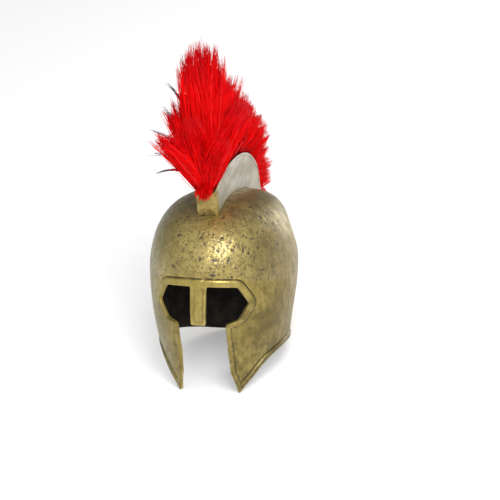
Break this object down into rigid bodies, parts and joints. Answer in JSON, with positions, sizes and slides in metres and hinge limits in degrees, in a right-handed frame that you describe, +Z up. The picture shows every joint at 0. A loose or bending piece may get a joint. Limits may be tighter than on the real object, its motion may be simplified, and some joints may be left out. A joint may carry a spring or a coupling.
{
  "type": "gladiator helmet",
  "caption": "Face-framing gladiator helmet in antique gold with nasal and cheek guards, an arched crest holder and a red hair plume, standing on its cheek tips and neck rim.",
  "frame": {"origin": "on the floor plane that the helmet stands on, below the middle of its whole outline", "axes": "-Y the way the wearer faces, +X to the wearer's left, +Z up as the helmet stands"},
  "size_m": [0.1714, 0.2966, 0.3873],
  "materials": {
    "antique_gold": "moulded rubber with a worn, pitted antique gold coat",
    "crest_gold": "moulded rubber with a thin, pale antique gold coat",
    "red_hair": "long synthetic hair, slightly glossy"
  },
  "bodies": {
    "root": {"helmet_shell": "antique_gold", "crest_holder": "crest_gold", "plume": "red_hair"}
  },
  "joints": []
}
